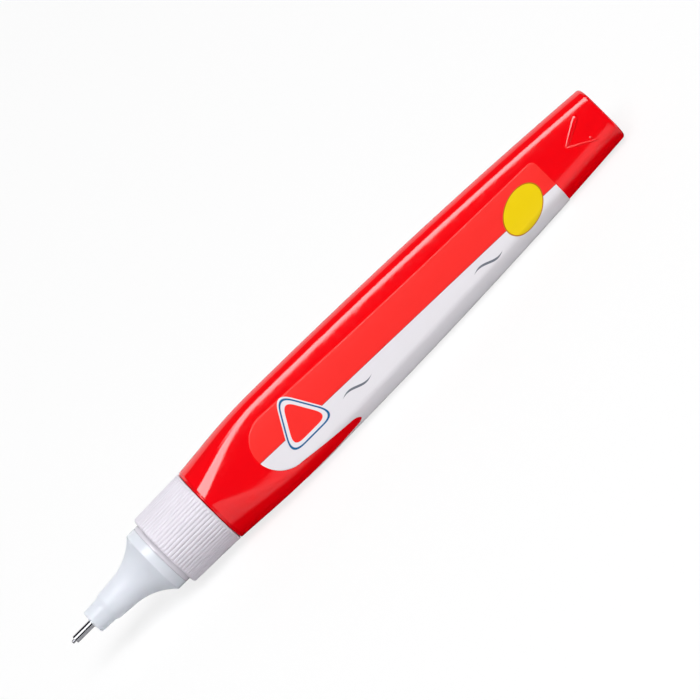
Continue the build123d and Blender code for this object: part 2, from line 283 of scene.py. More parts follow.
x, *arcs = (rows[:, [i]] for i in range(rows.shape[1]))
seam_arc = np.radians(np.abs(normals - seams).min(axis=0)) * arcs[2]
seam = np.exp(-((seam_arc / SEAM_WIDTH) ** 2))
run_in = np.clip((x - BARREL_FRONT) / SEAM_RUN_IN, 0, 1)
run_out = np.clip((BARREL_REAR - x) / REAR_ROUNDING, 0, 1)
on_skin = np.arange(len(rows))[:, None] >= len(inner_rows)
lift = SEAM_HEIGHT * seam * run_in * run_out * on_skin
barrel_points = joined(x, section(arcs, normals) + lift[..., None] * around(normals))
barrel = round_piece("barrel_skin", barrel_points)
dress(barrel, "barrel", "barrel_plastic", "squeeze_barrel")

# %% [markdown]
# ## The screw thread
# Under the collar the neck carries the thread that the collar is screwed on. It shows only when the
# collar is unscrewed. A Screw modifier could wind it, but its ends would need work by hand. Here a small
# profile is carried along a helix, and its height swells from nothing at both ends, so the ridge runs out
# into the neck.

# %% Neck thread
THREAD_PITCH, THREAD_TURNS, THREAD_STEPS = 3.0, 1.9, 180
THREAD_HEIGHT, THREAD_HALF_WIDTH, THREAD_HALF_TOP = 0.5, 0.75, 0.35
THREAD_START, THREAD_ROOT = 5.3, 0.15
RUN_OUT_PARTS = 12  # the thread rises to its full height over one such part of its length
END_WIDTH = 0.05  # share of its width that a ridge keeps where it runs out


def ends_closed(points):
    """The rows, with the first and the last shrunk to their middles, which closes both ends."""
    points[[0, -1]] = points[[0, -1]].mean(axis=1, keepdims=True)
    return points


def thread_points(steps):
    """Rows along a helix: x grows with the turn, and each row is a trapezium that stands on the neck."""
    share = np.linspace(0, 1, steps)[:, None]
    swell = np.clip(RUN_OUT_PARTS * np.minimum(share, 1 - share), 0, 1)
    across = np.array([-THREAD_HALF_WIDTH, -THREAD_HALF_TOP, THREAD_HALF_TOP, THREAD_HALF_WIDTH])
    height = np.array([-THREAD_ROOT, THREAD_HEIGHT, THREAD_HEIGHT, -THREAD_ROOT])
    radius = NECK_RADIUS + np.where(height > 0, height * swell, height)
    x = THREAD_START + THREAD_PITCH * THREAD_TURNS * share + across * np.maximum(swell, END_WIDTH)
    return ends_closed(joined(x, radius[..., None] * around(360 * THREAD_TURNS * share)))


thread = round_piece("neck_thread", thread_points(THREAD_STEPS))
dress(thread, "barrel", "barrel_plastic")

# %% [markdown]
# ## The moulded chevron
# Near the rear end the mould left a shallow raised chevron that points at the tip, with a small dot. A
# bump in the material would vanish in a close view. So each leg is a low bar with steep sides and a flat
# top, carried along a straight line in the flat's own coordinates: x along the pen and v up the flat from
# its middle. The upper leg widens towards its end. The formula of the skin lays the bars on the barrel.

# %% Raised chevron on the flat
FRONT_FLAT = (CORNERS[0] + CORNERS[1]) / 2  # normal of the flat that faces the viewer
BAR_ROWS, BAR_COLUMNS = 40, 13
BAR_POWER, BAR_END_POWER = 0.3, 8
BAR_FOOT = 0.01  # where the sine of the profile's angle is less, the bar reaches below the skin
CHEVRON_TIP = (103.3, -0.3)
CHEVRON = {  # start and end as (x, v), half widths at both, height
    "chevron_upper": (CHEVRON_TIP, (108.7, 2.75), (0.3, 0.6), 0.26),
    "chevron_lower": (CHEVRON_TIP, (108.6, -3.3), (0.16, 0.16), 0.12),
    "chevron_dot": ((107.45, -2.05), (107.95, -2.1), (0.25, 0.25), 0.2),
}


def flat_skin(x, v, growth):
    """Points on the front flat: v is an arc length, so the normal turns by v over the flat's radius."""
    arcs = arcs_along(x)
    turn = np.degrees(v / flat_arc(*arcs)[0])
    normal = FRONT_FLAT - np.clip(turn, -FACE_TURN, FACE_TURN)
    return joined(x, section(arcs, normal) + growth[..., None] * around(normal))


def raised_bar(name, start, end, half_widths, height):
    """A low bar between two places (x, v) of the flat.

    Along it, the root of one less a power of the place makes both ends sink in. Across it, a power of a
    sine makes steep sides and a flat top.
    """
    share = np.linspace(0, 1, BAR_ROWS)[:, None]
    lean = np.radians(np.linspace(0, 180, BAR_COLUMNS))
    run = np.subtract(end, start)
    across = np.array([-run[1], run[0]]) / np.hypot(*run)
    swell = np.sqrt(np.clip(1 - (2 * share - 1) ** BAR_END_POWER, 0, 1))
    width = half_widths[0] + (half_widths[1] - half_widths[0]) * share
    side = np.cos(lean) * width * np.maximum(swell, END_WIDTH)
    rise = np.clip(np.sin(lean), 0, 1) ** BAR_POWER
    growth = height * swell * rise - height * (np.sin(lean) < BAR_FOOT)
    x, v = (start[i] + run[i] * share + across[i] * side for i in (0, 1))
    bar = round_piece(name, ends_closed(flat_skin(x, v, growth)))
    dress(bar, "barrel", "barrel_plastic")
    return bar


chevron_bars = [raised_bar(name, *sizes) for name, sizes in CHEVRON.items()]

# %% [markdown]
# ## The wrap label
# The label is a die-cut film. It lies on the front flat, goes over the lower corner and covers the flat
# below, with a round lobe on either side of a long notch. A flat cut-out projected onto the barrel would
# stretch on the corner, so the film is laid out unrolled: q is the arc length from the corner's ridge.
# For each x the film runs from the notch's edge to the upper edge, and the other half is its mirror
# image. Solidify gives it thickness.

# %% Label outline
LABEL_FRONT, LABEL_REAR = span("wrap_label")
LOBE_RADIUS, LOBE_DROP = 5.6, 1.0
UPPER_FRONT, UPPER_REAR, UPPER_SAG = LOBE_RADIUS - LOBE_DROP, 2.55, 0.35  # heights of the upper edge
REAR_CORNER = 1.2
NOTCH_LENGTH, NOTCH_HALF_WIDTH, NOTCH_ROUND = 18.7, 1.25, 2.2
LOBE_X = LABEL_FRONT + LOBE_RADIUS
NOTCH_TIP = LABEL_FRONT + NOTCH_LENGTH
NOTCH_SHOULDER = NOTCH_TIP - NOTCH_ROUND


def unrolled(x):
    """Arc lengths from the corner's ridge to the corner's end, the crease's end and the flat's middle."""
    arcs = arcs_along(x)
    corner_end = arcs[1] * np.radians(CORNER_TURN)
    crease_end = corner_end + arcs[2] * np.radians(CREASE_END - CORNER_TURN)
    return corner_end, crease_end, crease_end + flat_arc(*arcs)[0] * np.radians(FACE_TURN)


def film_edges(x):
    """Inner and outer edge of half the film, as arc lengths from the ridge.

    A circle makes the lobe, a straight line and a quarter of an ellipse make the notch's edge, and a
    parabola that sags, with a rounded corner, makes the top.
    """
    middle = unrolled(x)[2]
    lobe = np.sqrt(np.clip(LOBE_RADIUS**2 - (x - LOBE_X) ** 2, 0, None))
    share = np.clip((x - LOBE_X) / (LABEL_REAR - LOBE_X), 0, 1)
    top = UPPER_FRONT + (UPPER_REAR - UPPER_FRONT) * share - UPPER_SAG * 4 * share * (1 - share)
    cut = np.clip(x - LABEL_REAR + REAR_CORNER, 0, REAR_CORNER)
    top = top - REAR_CORNER + np.sqrt(REAR_CORNER**2 - cut**2)
    outer = middle + np.where(x < LOBE_X, lobe - LOBE_DROP, top)
    bottom = unrolled(np.array(LOBE_X))[2] - LOBE_RADIUS - LOBE_DROP
    straight = bottom + (NOTCH_HALF_WIDTH - bottom) * (x - LOBE_X) / (NOTCH_SHOULDER - LOBE_X)
    tip = NOTCH_HALF_WIDTH * np.sqrt(np.clip(1 - ((x - NOTCH_SHOULDER) / NOTCH_ROUND) ** 2, 0, 1))
    pick = [x < LOBE_X, x < NOTCH_SHOULDER, x < NOTCH_TIP]
    return np.select(pick, [middle - lobe - LOBE_DROP, straight, tip], 0), outer


print("label", round(LABEL_REAR - LABEL_FRONT, 2), "mm long")

# %% Label film
LABEL_LIFT, LABEL_THICKNESS = 0.15, 0.13
LOWER_CORNER = CORNERS[1]
FILM_UNIT = 100.0  # millimetres in one unit of the film's UV map
FILM_ROUND_ROWS, FILM_NOTCH_ROWS, FILM_BODY_ROWS = 22, 24, 90
FILM_CORNER_COLUMNS, FILM_CREASE_COLUMNS, FILM_FLAT_COLUMNS = 10, 14, 36


def film_points(x, q, growth):
    """Film laid on the barrel: the normal turns in step with the arc length on corner, crease and flat."""
    corner_end, crease_end, middle = unrolled(x)
    turn = CORNER_TURN * np.clip(np.abs(q) / corner_end, 0, 1)
    turn += (CREASE_END - CORNER_TURN) * np.clip((np.abs(q) - corner_end) / (crease_end - corner_end), 0, 1)
    turn += FACE_TURN * np.clip((np.abs(q) - crease_end) / (middle - crease_end), 0, None)
    normal = LOWER_CORNER - np.sign(q) * turn
    return joined(x, section(arcs_along(x), normal) + growth * around(normal))


rounding, opening = quarter(FILM_ROUND_ROWS)
film_x = np.unique(np.concatenate([
    LABEL_FRONT + LOBE_RADIUS * (1 - rounding),
    np.linspace(LOBE_X, NOTCH_SHOULDER, FILM_NOTCH_ROWS),
    NOTCH_SHOULDER + NOTCH_ROUND * opening,
    np.linspace(NOTCH_TIP, LABEL_REAR - REAR_CORNER, FILM_BODY_ROWS),
    LABEL_REAR - REAR_CORNER + REAR_CORNER * opening,
]).round(DIGITS))[:, None]
inner_edge, outer_edge = film_edges(film_x)
corner_end, crease_end = (np.clip(end, inner_edge, outer_edge) for end in unrolled(film_x)[:2])
film_q = np.concatenate([
    inner_edge + (corner_end - inner_edge) * np.linspace(0, 1, FILM_CORNER_COLUMNS),
    corner_end + (crease_end - corner_end) * np.linspace(0, 1, FILM_CREASE_COLUMNS),
    crease_end + (outer_edge - crease_end) * np.linspace(0, 1, FILM_FLAT_COLUMNS),
], axis=1)
halves = np.stack([film_q, -film_q[:, ::-1]])
film_grid = np.stack([film_points(film_x, q, LABEL_LIFT) for q in halves])
film_w = halves - unrolled(film_x)[2]
film_uv = np.stack([np.broadcast_to(film_x, halves.shape), film_w], axis=-1) / FILM_UNIT
half_quads = grid_quads(*film_q.shape, wrap=False)
film_quads = np.concatenate([half_quads, half_quads + film_q.size])
label = make_piece("label_film", film_grid, film_quads, closed=False, film=film_uv.reshape(-1, 2))
thickness = label.modifiers.new("film thickness", "SOLIDIFY")
thickness.thickness = LABEL_THICKNESS * MM
thickness.offset = -1
dress(label, "barrel", "label_film", "wrap_label")

faces = label.data.polygons
face_normals, face_centres = np.zeros((2, len(faces), 3), dtype=np.float32)
faces.foreach_get("normal", face_normals.ravel())
faces.foreach_get("center", face_centres.ravel())
outwards = (face_normals * face_centres)[:, 1:].sum(axis=1) > 0
print("label faces that point outwards:", int(outwards.sum()), "of", len(faces))

# %% [markdown]
# ## Rounded profiles
# The collar, the nose, the tube and the pin are turned shapes. A moulded or machined edge is never sharp:
# even a small rounding catches a line of light. Bevel modifiers would do, but they also cut edges that
# should stay. So each profile is a short list of corners, and a helper replaces every corner by an arc of
# the radius given for it.

# %% Profile helpers
STRAIGHT = np.radians(89)  # half angle past which a corner counts as straight


def rounded(corners, steps=7):
    """A profile whose corners (x, r, rounding) become arcs.

    Each arc touches both sides of its corner at the rounding over the tangent of half the angle.
    """
    corners = np.array(corners, dtype=float)
    stretch = [corners[:1, :2]]
    for before, (x, r, size), after in zip(corners, corners[1:], corners[2:]):
        here = np.array([x, r])
        back, ahead = (side[:2] - here for side in (before, after))
        back, ahead = back / np.hypot(*back), ahead / np.hypot(*ahead)
        half = np.arccos(np.clip(back @ ahead, -1, 1)) / 2
        if size == 0 or half > STRAIGHT:
            stretch.append(here[None])
            continue
        centre = here + (back + ahead) / np.hypot(*(back + ahead)) * size / np.sin(half)
        first, last = (here + side * size / np.tan(half) - centre for side in (back, ahead))
        share = np.linspace(0, 1, steps)[:, None]
        turn = np.arccos(np.clip(first @ last / size**2, -1, 1))
        arc = (np.sin((1 - share) * turn) * first + np.sin(share * turn) * last) / np.sin(turn)
        stretch.append(centre + arc)
    return np.concatenate(stretch + [corners[-1:, :2]])


def turned_piece(name, profile, columns):
    """A surface of revolution: each profile point (x, r) is carried round the axis on a circle.

    A profile that ends where it starts makes a ring, and one with both ends on the axis makes a solid.
    """
    ring = profile[:, 1, None, None] * around(np.arange(columns) * 360 / columns)
    return round_piece(name, joined(profile[:, :1], ring))


print("a rounded corner takes", len(rounded([(0, 0, 0), (1, 0, 0.1), (1, 1, 0)])) - 2, "points")

# %% [markdown]
# ## The ribbed collar
# The collar is a white screw ring with 66 fine ribs for the fingers. Arrays of little boxes would give
# ribs with hard edges. Here the radius itself depends on the angle: across each rib it falls off with a
# power, a little over three, of the distance from the rib's middle, which makes round backs and narrow
# grooves. The grooves fade in over the rounded front edge and stop before the smooth rim at the rear.

# %% Collar rows
COLLAR_BAND_FRONT, COLLAR_REAR = span("ribbed_collar")
BAND_LENGTH, BAND_RADIUS, BAND_ROUNDING = 0.95, 6.7, 0.05
BAND_INSET = 0.3  # a row this far in keeps the band's front face flat
COLLAR_FRONT = COLLAR_BAND_FRONT + BAND_LENGTH
COLLAR_FRONT_RADIUS, COLLAR_REAR_RADIUS = 7.82, 8.05
COLLAR_BORE, LIP_BORE, LIP_DEPTH = 6.9, 5.75, 0.9
LIP_REAR = COLLAR_FRONT + LIP_DEPTH
COLLAR_EDGE, COLLAR_RIM, COLLAR_RIM_ROUNDING = 0.5, 0.4, 0.1
RIB_END, RIB_RUN_OUT = COLLAR_REAR - COLLAR_RIM, 0.12
EDGE_ROWS, RIB_ROWS, RUN_OUT_ROWS = 10, 12, 4

shrink, along = quarter(EDGE_ROWS)
edge_x = COLLAR_FRONT + COLLAR_EDGE * (1 - shrink)
edge_r = COLLAR_FRONT_RADIUS - COLLAR_EDGE * (1 - along)
rib_start = [COLLAR_FRONT + COLLAR_EDGE, COLLAR_FRONT_RADIUS]
run_out_start, run_out_end = ([x, COLLAR_REAR_RADIUS] for x in (RIB_END - RIB_RUN_OUT, RIB_END))
collar_rows = np.concatenate([
    rounded([
        (COLLAR_BAND_FRONT, LIP_BORE, 0),
        (COLLAR_BAND_FRONT, BAND_RADIUS - BAND_INSET, 0),
        (COLLAR_BAND_FRONT, BAND_RADIUS, BAND_ROUNDING),
        (COLLAR_FRONT, BAND_RADIUS, 0),
        (COLLAR_FRONT, BAND_RADIUS + BAND_ROUNDING, 0),
    ]),
    np.stack([edge_x, edge_r], axis=1),
    np.linspace(rib_start, run_out_start, RIB_ROWS)[1:],
    np.linspace(run_out_start, run_out_end, RUN_OUT_ROWS)[1:],
    rounded([
        (*run_out_end, 0),
        (COLLAR_REAR, COLLAR_REAR_RADIUS, COLLAR_RIM_ROUNDING),
        (COLLAR_REAR, COLLAR_BORE, COLLAR_RIM_ROUNDING),
        (LIP_REAR, COLLAR_BORE, 0),
        (LIP_REAR, LIP_BORE, 0),
        (COLLAR_BAND_FRONT, LIP_BORE, 0),
    ])[1:],
])
print("collar rows:", len(collar_rows))

# %% Collar ribs
RIB_COUNT, RIB_SAMPLES = 66, 12
RIB_DEPTH, RIB_POWER = 0.15, 3.2
RIB_FLOOR = BAND_RADIUS + 0.5  # rows of a smaller radius are the band and the bore, without ribs

rib_angle = np.arange(RIB_COUNT * RIB_SAMPLES) * 360 / (RIB_COUNT * RIB_SAMPLES)
rib_place = (rib_angle * RIB_COUNT / 360 + 0.5) % 1 - 0.5
groove = np.abs(2 * rib_place) ** RIB_POWER
row_x, row_r = collar_rows[:, :1], collar_rows[:, 1:]
fade_in = np.clip((row_x - COLLAR_FRONT) / COLLAR_EDGE, 0, 1)
fade_out = np.clip((RIB_END - row_x) / RIB_RUN_OUT, 0, 1)
on_ribs = (row_r > RIB_FLOOR) & (row_x < RIB_END)
collar_r = row_r - RIB_DEPTH * groove * fade_in * fade_out * on_ribs
collar = round_piece("collar_ribs", joined(row_x, collar_r[..., None] * around(rib_angle)))
dress(collar, "collar", "collar_plastic", "ribbed_collar")

# %% [markdown]
# ## The nose
# The nose is moulded in one piece: a small boss round the tube, a ferrule, a soft step, a slightly wider
# sleeve and a concave flare up to the shoulder that a cap grips. Spin on a drawn curve would do. A
# profile worked out from the same sizes keeps the flare tangent to the sleeve and lets the inside follow:
# a waist in the collar's lip, a flange behind it, a plug in the neck, and then a funnel and the chamber
# of the valve.

# %% Nose sizes and curves
BOSS_FRONT, PLUG_REAR = span("nozzle_cone")
BOSS_LENGTH, BOSS_RADIUS, BOSS_EDGE, BOSS_ROOT = 0.18, 0.93, 0.06, 0.04
NOSE_FRONT = BOSS_FRONT + BOSS_LENGTH
FERRULE_REAR, STEP_REAR, SLEEVE_REAR = NOSE_FRONT + np.array([2.9, 4.6, 8.1])
FERRULE_FRONT_RADIUS, FERRULE_REAR_RADIUS, FERRULE_EDGE = 2.42, 2.52, 0.32
STEP_RADIUS, SLEEVE_RADIUS = 2.92, 3.2
SHOULDER_FRONT, SHOULDER_REAR = -1.83, COLLAR_BAND_FRONT - 0.03  # a fine gap parts nose and collar
SHOULDER_EDGE, SHOULDER_RIM = 0.45, 0.05
WAIST_RADIUS = 5.65
FLANGE_RADIUS, FLANGE_REAR, FLANGE_EDGE = 6.0, LIP_REAR + 1.0, 0.1
PLUG_RADIUS, PLUG_BORE, PLUG_EDGE, PLUG_MOUTH = 4.95, 3.7, 0.3, 0.2
FUNNEL_REAR, FUNNEL_FRONT = -1.95, -5.95
CHAMBER_RADIUS, CHAMBER_FRONT, TUBE_SOCKET = 1.75, -12.35, 0.75
FLARE_ROWS, STEP_ROWS, SLEEVE_ROWS, NOSE_COLUMNS = 30, 10, 6, 144


def tangent_arc(start, direction, end, steps):
    """Points of the arc that leaves a point along a direction and reaches another point.

    Its radius is the chord's square over twice the chord's part along the normal.
    """
    direction = direction / np.hypot(*direction)
    normal = np.array([-direction[1], direction[0]])
    chord = end - start
    radius = chord @ chord / (2 * chord @ normal)
    sweep = 2 * np.arctan2(chord @ normal, chord @ direction)
    turn = np.linspace(0, sweep, steps)[:, None]
    return start + radius * (np.sin(turn) * direction + (1 - np.cos(turn)) * normal)


def soft_step(start, end, steps):
    """An S-shaped step: the radius follows 3t² - 2t³ between two places."""
    share = np.linspace(0, 1, steps)[:, None]
    ease = np.concatenate([share, share**2 * (3 - 2 * share)], axis=1)
    return start + (end - start) * ease


print("nose", round(PLUG_REAR - BOSS_FRONT, 2), "mm long with its plug")

# %% Nose surface
ferrule_end, step_end = np.array([FERRULE_REAR, FERRULE_REAR_RADIUS]), np.array([STEP_REAR, STEP_RADIUS])
sleeve_end, flare_end = np.array([SLEEVE_REAR, SLEEVE_RADIUS]), np.array([SHOULDER_FRONT, BAND_RADIUS])
flare = tangent_arc(sleeve_end, sleeve_end - step_end, flare_end, FLARE_ROWS)
front_profile = rounded([
    (BOSS_FRONT, TUBE_SOCKET, 0),
    (BOSS_FRONT, BOSS_RADIUS, BOSS_EDGE),
    (NOSE_FRONT, BOSS_RADIUS, BOSS_ROOT),
    (NOSE_FRONT, FERRULE_FRONT_RADIUS, FERRULE_EDGE),
    (*ferrule_end, 0),
])
rear_profile = rounded([
    (*flare[-2], 0),
    (*flare_end, SHOULDER_EDGE),
    (SHOULDER_REAR, BAND_RADIUS, SHOULDER_RIM),
    (SHOULDER_REAR, WAIST_RADIUS, 0),
    (LIP_REAR, WAIST_RADIUS, 0),
    (LIP_REAR, FLANGE_RADIUS, FLANGE_EDGE),
    (FLANGE_REAR, FLANGE_RADIUS, FLANGE_EDGE),
    (FLANGE_REAR, PLUG_RADIUS, 0),
    (PLUG_REAR, PLUG_RADIUS, PLUG_EDGE),
    (PLUG_REAR, PLUG_BORE, PLUG_MOUTH),
    (FUNNEL_REAR, PLUG_BORE, 0),
    (FUNNEL_FRONT, CHAMBER_RADIUS, 0),
    (CHAMBER_FRONT, CHAMBER_RADIUS, 0),
    (CHAMBER_FRONT, TUBE_SOCKET, 0),
    (BOSS_FRONT, TUBE_SOCKET, 0),
])
nose_profile = np.concatenate([
    front_profile,
    soft_step(ferrule_end, step_end, STEP_ROWS)[1:],
    np.linspace(step_end, sleeve_end, SLEEVE_ROWS)[1:],
    flare[1:-1],
    rear_profile[1:],
])
nose = turned_piece("nose_cone", nose_profile, NOSE_COLUMNS)
dress(nose, "nozzle", "nose_plastic", "nozzle_cone")

# %% [markdown]
# ## The needle tip
# A polished metal tube with a thin wall sits in the nose, and the pin of the valve stands out of it. Both
# are small, but the tip is where the eye goes. Plain cylinders would look cut off, so both are profiles
# with rounded rims, and the bore of the tube is really open.

# %% Tube and pin
TUBE_FRONT, TUBE_REAR = span("tip_tube")
PIN_FRONT, PIN_REAR = span("valve_pin")
TUBE_RADIUS, TUBE_BORE, PIN_RADIUS = 0.74, 0.45, 0.31
TUBE_LIP, TUBE_MOUTH, TUBE_BACK, TUBE_BACK_BORE = 0.12, 0.06, 0.03, 0.02  # roundings of the tube's rims
PIN_POINT, PIN_BACK = 0.15, 0.05  # roundings of the pin's ends
TUBE_COLUMNS, PIN_COLUMNS = 72, 48

tube_start = (TUBE_REAR, (TUBE_RADIUS + TUBE_BORE) / 2, 0)
tube = turned_piece("needle_tube", rounded([
    tube_start,
    (TUBE_REAR, TUBE_RADIUS, TUBE_BACK),
    (TUBE_FRONT, TUBE_RADIUS, TUBE_LIP),
    (TUBE_FRONT, TUBE_BORE, TUBE_MOUTH),
    (TUBE_REAR, TUBE_BORE, TUBE_BACK_BORE),
    tube_start,
]), TUBE_COLUMNS)
dress(tube, "nozzle", "tube_metal", "tip_tube")
pin = turned_piece("needle_pin", rounded([
    (PIN_FRONT, POLE, 0),
    (PIN_FRONT, PIN_RADIUS, PIN_POINT),
    (PIN_REAR, PIN_RADIUS, PIN_BACK),
    (PIN_REAR, POLE, 0),
]), PIN_COLUMNS)
dress(pin, "valve", "pin_metal", "valve_pin")

# %% [markdown]
# ## The valve spring
# Inside the nose a coil spring pushes the valve shut. A curve with a bevel would do, but a tube along a
# helix is as short in numpy: the wire's circle is spanned by the radial direction and the one square to
# it and the path. The spring shortens when the pin is pressed; here it rides with the nose and gets a
# mesh of its own.

# %% Spring
SPRING_FRONT, SPRING_REAR = span("valve_spring")
SPRING_WIRE, SPRING_RADIUS, SPRING_TURNS = 0.15, 1.25, 4
SPRING_STEPS, SPRING_SIDES = 200, 14


def spring_points(steps, sides):
    """Wire circles along a helix: its radius times a cosine outwards and a sine along the binormal."""
    share = np.linspace(0, 1, steps)[:, None]
    angle = np.linspace(0, 2 * np.pi, sides, endpoint=False)
    length = SPRING_REAR - SPRING_FRONT - 2 * SPRING_WIRE
    rise = length / (2 * np.pi * SPRING_RADIUS * SPRING_TURNS)
    size = SPRING_WIRE * np.where((share > 0) & (share < 1), 1, POLE)
    away = size * np.cos(angle)
    ahead = size * np.sin(angle) / np.hypot(1, rise)
    outwards = around(360 * SPRING_TURNS * share)
    forwards = np.stack([-outwards[..., 1], outwards[..., 0]], axis=-1)
    ring = (SPRING_RADIUS + away)[..., None] * outwards - (ahead * rise)[..., None] * forwards
    return joined(SPRING_FRONT + SPRING_WIRE + length * share + ahead, ring)


spring = round_piece("spring_coil", spring_points(SPRING_STEPS, SPRING_SIDES))
dress(spring, "nozzle", "spring_wire", "valve_spring")
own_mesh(spring)

# %% [markdown]
# ## Nodes in a few words
# A material here is a Principled shader with a few nodes in front of it. The helper below adds a node,
# sets its plain values and links what is another node's output, so that each finish reads as a short
# recipe. Patterns read Object coordinates, in metres, so a noise of scale 200 has spots about 5 mm wide.

# %% Material helpers
NOISE_RANGE = (0.3, 0.7)  # most of a noise's values lie between these


def srgb(red, green, blue):
    """A colour as it is read off a screen, 0 to 255, made linear for the shader."""
    screen = np.array([red, green, blue]) / 255
    linear = np.where(screen <= 0.04045, screen / 12.92, ((screen + 0.055) / 1.055) ** 2.4)
    return (*linear.tolist(), 1.0)


class Finish:
    """A new material with its Principled shader, and short ways to add nodes in front of it."""

    def __init__(self, name, values):
        self.material = bpy.data.materials.new(name)
        self.material.use_nodes = True
        self.tree = self.material.node_tree
        self.shader = self.tree.nodes["Principled BSDF"]
        self.fill(self.shader, values)

    def fill(self, node, inputs):
        """Sets or links inputs by name or number."""
        for key, value in inputs.items():
            socket = node.inputs[key]
            if isinstance(value, bpy.types.NodeSocket):
                self.tree.links.new(value, socket)
            else:
                socket.default_value = value

    def add(self, kind, inputs=None, output=0, **settings):
        """Adds a node and returns one of its outputs."""
        node = self.tree.nodes.new("ShaderNode" + kind)
        for key, value in settings.items():
            setattr(node, key, value)
        self.fill(node, inputs or {})
        return node.outputs[output]

    def math(self, operation, first, second=0.0):
        """One sum on two numbers or outputs."""
        return self.add("Math", {0: first, 1: second}, operation=operation)

    def fade(self, value, low, high, start=0.0, end=1.0):
        """A smooth change from start to end while a value goes from low to high."""
        inputs = {"Value": value, "From Min": low, "From Max": high, "To Min": start, "To Max": end}
        return self.add("MapRange", inputs, interpolation_type="SMOOTHSTEP")

    def spread(self, noise, start=0.0, end=1.0):
        """A smooth change from start to end over the usual range of a noise."""
        return self.fade(noise, *NOISE_RANGE, start, end)

    def mix(self, share, first, second):
        """A colour between two, by a share from 0 to 1."""
        return self.add("Mix", {0: share, 6: first, 7: second}, output=2, data_type="RGBA")

    def place(self):
        """Object coordinates, in metres."""
        return self.add("TexCoord", output="Object")

    def noise(self, scale, stretch=(1, 1, 1), detail=3.0):
        """Noise on Object coordinates, with its spots stretched along the axes."""
        place = self.add("Mapping", {"Vector": self.place(), "Scale": stretch})
        return self.add("TexNoise", {"Vector": place, "Scale": scale, "Detail": detail})

    def bump(self, height, strength, distance):
        """Gives the shader a bump of that depth, in metres."""
        normal = self.add("Bump", {"Height": height, "Strength": strength, "Distance": distance})
        self.fill(self.shader, {"Normal": normal})

    def wear(self, *pieces):
        """Puts the finish on pieces, in place of what they had."""
        for piece in pieces:
            piece.data.materials.clear()
            piece.data.materials.append(self.material)


print("mid grey on a screen is", round(srgb(128, 128, 128)[0], 3), "in linear light")

# %% [markdown]
# ## Barrel plastic
# Blow-moulded plastic is glossy but never quite even: the skin is faintly wavy, because it cooled against
# the mould without a core behind it, and handling leaves it a little duller in places. One even gloss
# would look like glass. So a slow noise makes the waves, a finer one varies the roughness, and a third
# shifts the red by a hair.

# %% Barrel finish
BARREL_RED, BARREL_DEEP_RED = srgb(249, 0, 12), srgb(244, 0, 14)
HANDLED_RANGE, BARREL_ROUGHNESS = (0.3, 0.8), (0.05, 0.1)

barrel_finish = Finish("barrel plastic", {"IOR": 1.46})
patches = barrel_finish.spread(barrel_finish.noise(scale=90, detail=4))
handled = barrel_finish.noise(scale=900, detail=5)
barrel_finish.fill(barrel_finish.shader, {
    "Base Color": barrel_finish.mix(patches, BARREL_RED, BARREL_DEEP_RED),
    "Roughness": barrel_finish.fade(handled, *HANDLED_RANGE, *BARREL_ROUGHNESS),
})
waves = barrel_finish.noise(scale=160, stretch=(0.4, 1, 1))
barrel_finish.bump(waves, strength=0.05, distance=0.06 * MM)
barrel_finish.wear(barrel, thread, *chevron_bars)
print("finish:", barrel_finish.material.name)

# %% [markdown]
# ## Label print
# The film is printed in two tones: red above, white below, parted by a slightly falling line. The print
# carries a plain rounded triangle, a yellow oval and two wavy strokes, and no words. An image would tie
# the print to its pixels, so each figure is a formula on the film's own UV map. Its two values, times
# 100, are millimetres: x along the pen, and the height w above the middle of the flat. Distances from an
# outline become sharp masks.

# %% Figures of the print
PRINT_EDGE = 0.035  # half the width over which one ink gives way to the next
SIGN_SIDES = (-90.0, 30.0, 150.0)  # directions from the triangle's centre to its sides
STROKE_SWING, STROKE_BELLY = 0.5, 0.3

label_finish = Finish("label film", {"IOR": 1.45, "Specular IOR Level": 0.16})
plus, minus, times, over = (
    partial(label_finish.math, operation) for operation in ("ADD", "SUBTRACT", "MULTIPLY", "DIVIDE")
)
film_map = label_finish.add("UVMap", uv_map="film")
film_place = label_finish.add("VectorMath", {0: film_map, 1: (FILM_UNIT,) * 3}, operation="MULTIPLY")
print_x, print_w = label_finish.add("SeparateXYZ", {0: film_place}).node.outputs[:2]


def inside(distance, edge):
    """A mask that is 1 where a distance is less than an edge, with a thin smooth border."""
    return label_finish.fade(distance, edge - PRINT_EDGE, edge + PRINT_EDGE, 1, 0)


def from_centre(centre):
    """Print coordinates about a centre."""
    return minus(print_x, centre[0]), minus(print_w, centre[1])


def towards(place, degrees):
    """How far a place lies in a direction: x times its cosine plus w times its sine."""
    cosine, sine = around(degrees).tolist()
    return plus(times(place[0], cosine), times(place[1], sine))


def oval_distance(centre, half_axes, tilt):
    """About the distance outside an oval: its scaled radius, less one, times the mean half axis."""
    place = from_centre(centre)
    scaled = [over(towards(place, tilt + turn), half) for turn, half in zip((0, 90), half_axes)]
    radius = label_finish.math("SQRT", plus(*(times(part, part) for part in scaled)))
    return times(minus(radius, 1.0), sum(half_axes) / 2)


def triangle_distance(centre, roundness):
    """Distance from the middle of a soft triangle: a power mean of the distances to its three sides."""
    place = from_centre(centre)
    total = 0.0
    for side in SIGN_SIDES:
        reach = label_finish.math("MAXIMUM", towards(place, side), 0.0)
        total = plus(label_finish.math("POWER", reach, roundness), total)
    return label_finish.math("POWER", total, 1 / roundness)


def stroke_distance(start, end, height):
    """Distance from a wavy stroke: one sine wave between two x, with a width that tapers to both ends."""
    share = label_finish.add("MapRange", {"Value": print_x, "From Min": start, "From Max": end})
    wave = times(label_finish.math("SINE", times(share, 2 * np.pi)), STROKE_SWING)
    off = label_finish.math("ABSOLUTE", minus(minus(print_w, height), wave))
    belly = times(label_finish.math("SINE", times(share, np.pi)), STROKE_BELLY)
    return minus(off, minus(belly, 2 * PRINT_EDGE))


